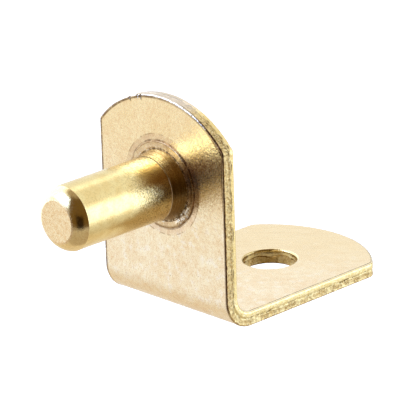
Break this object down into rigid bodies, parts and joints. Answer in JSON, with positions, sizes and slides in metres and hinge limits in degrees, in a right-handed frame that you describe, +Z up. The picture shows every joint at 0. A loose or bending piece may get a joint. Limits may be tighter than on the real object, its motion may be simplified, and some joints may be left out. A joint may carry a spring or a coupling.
{
  "type": "angled shelf support with pin",
  "caption": "Small L-shaped shelf support: a bent steel strip with round ends, a screw hole in the foot and a headed pin riveted through the leg.",
  "frame": {"origin": "on the pin's axis, in the plane of the leg's back face, which lies against the side of the cabinet", "axes": "+Z up, along the leg; +Y out of the cabinet side, along the foot; the pin points along -Y; X runs across the strip"},
  "size_m": [0.0132, 0.0297, 0.0173],
  "materials": {
    "plated_sheet": "steel sheet with a thin pale brass plating, satin faces and sheared edges",
    "plated_pin": "steel pin with a thin yellow brass plating, bright shank"
  },
  "bodies": {
    "root": {"bracket": "plated_sheet", "pin": "plated_pin"}
  },
  "joints": []
}
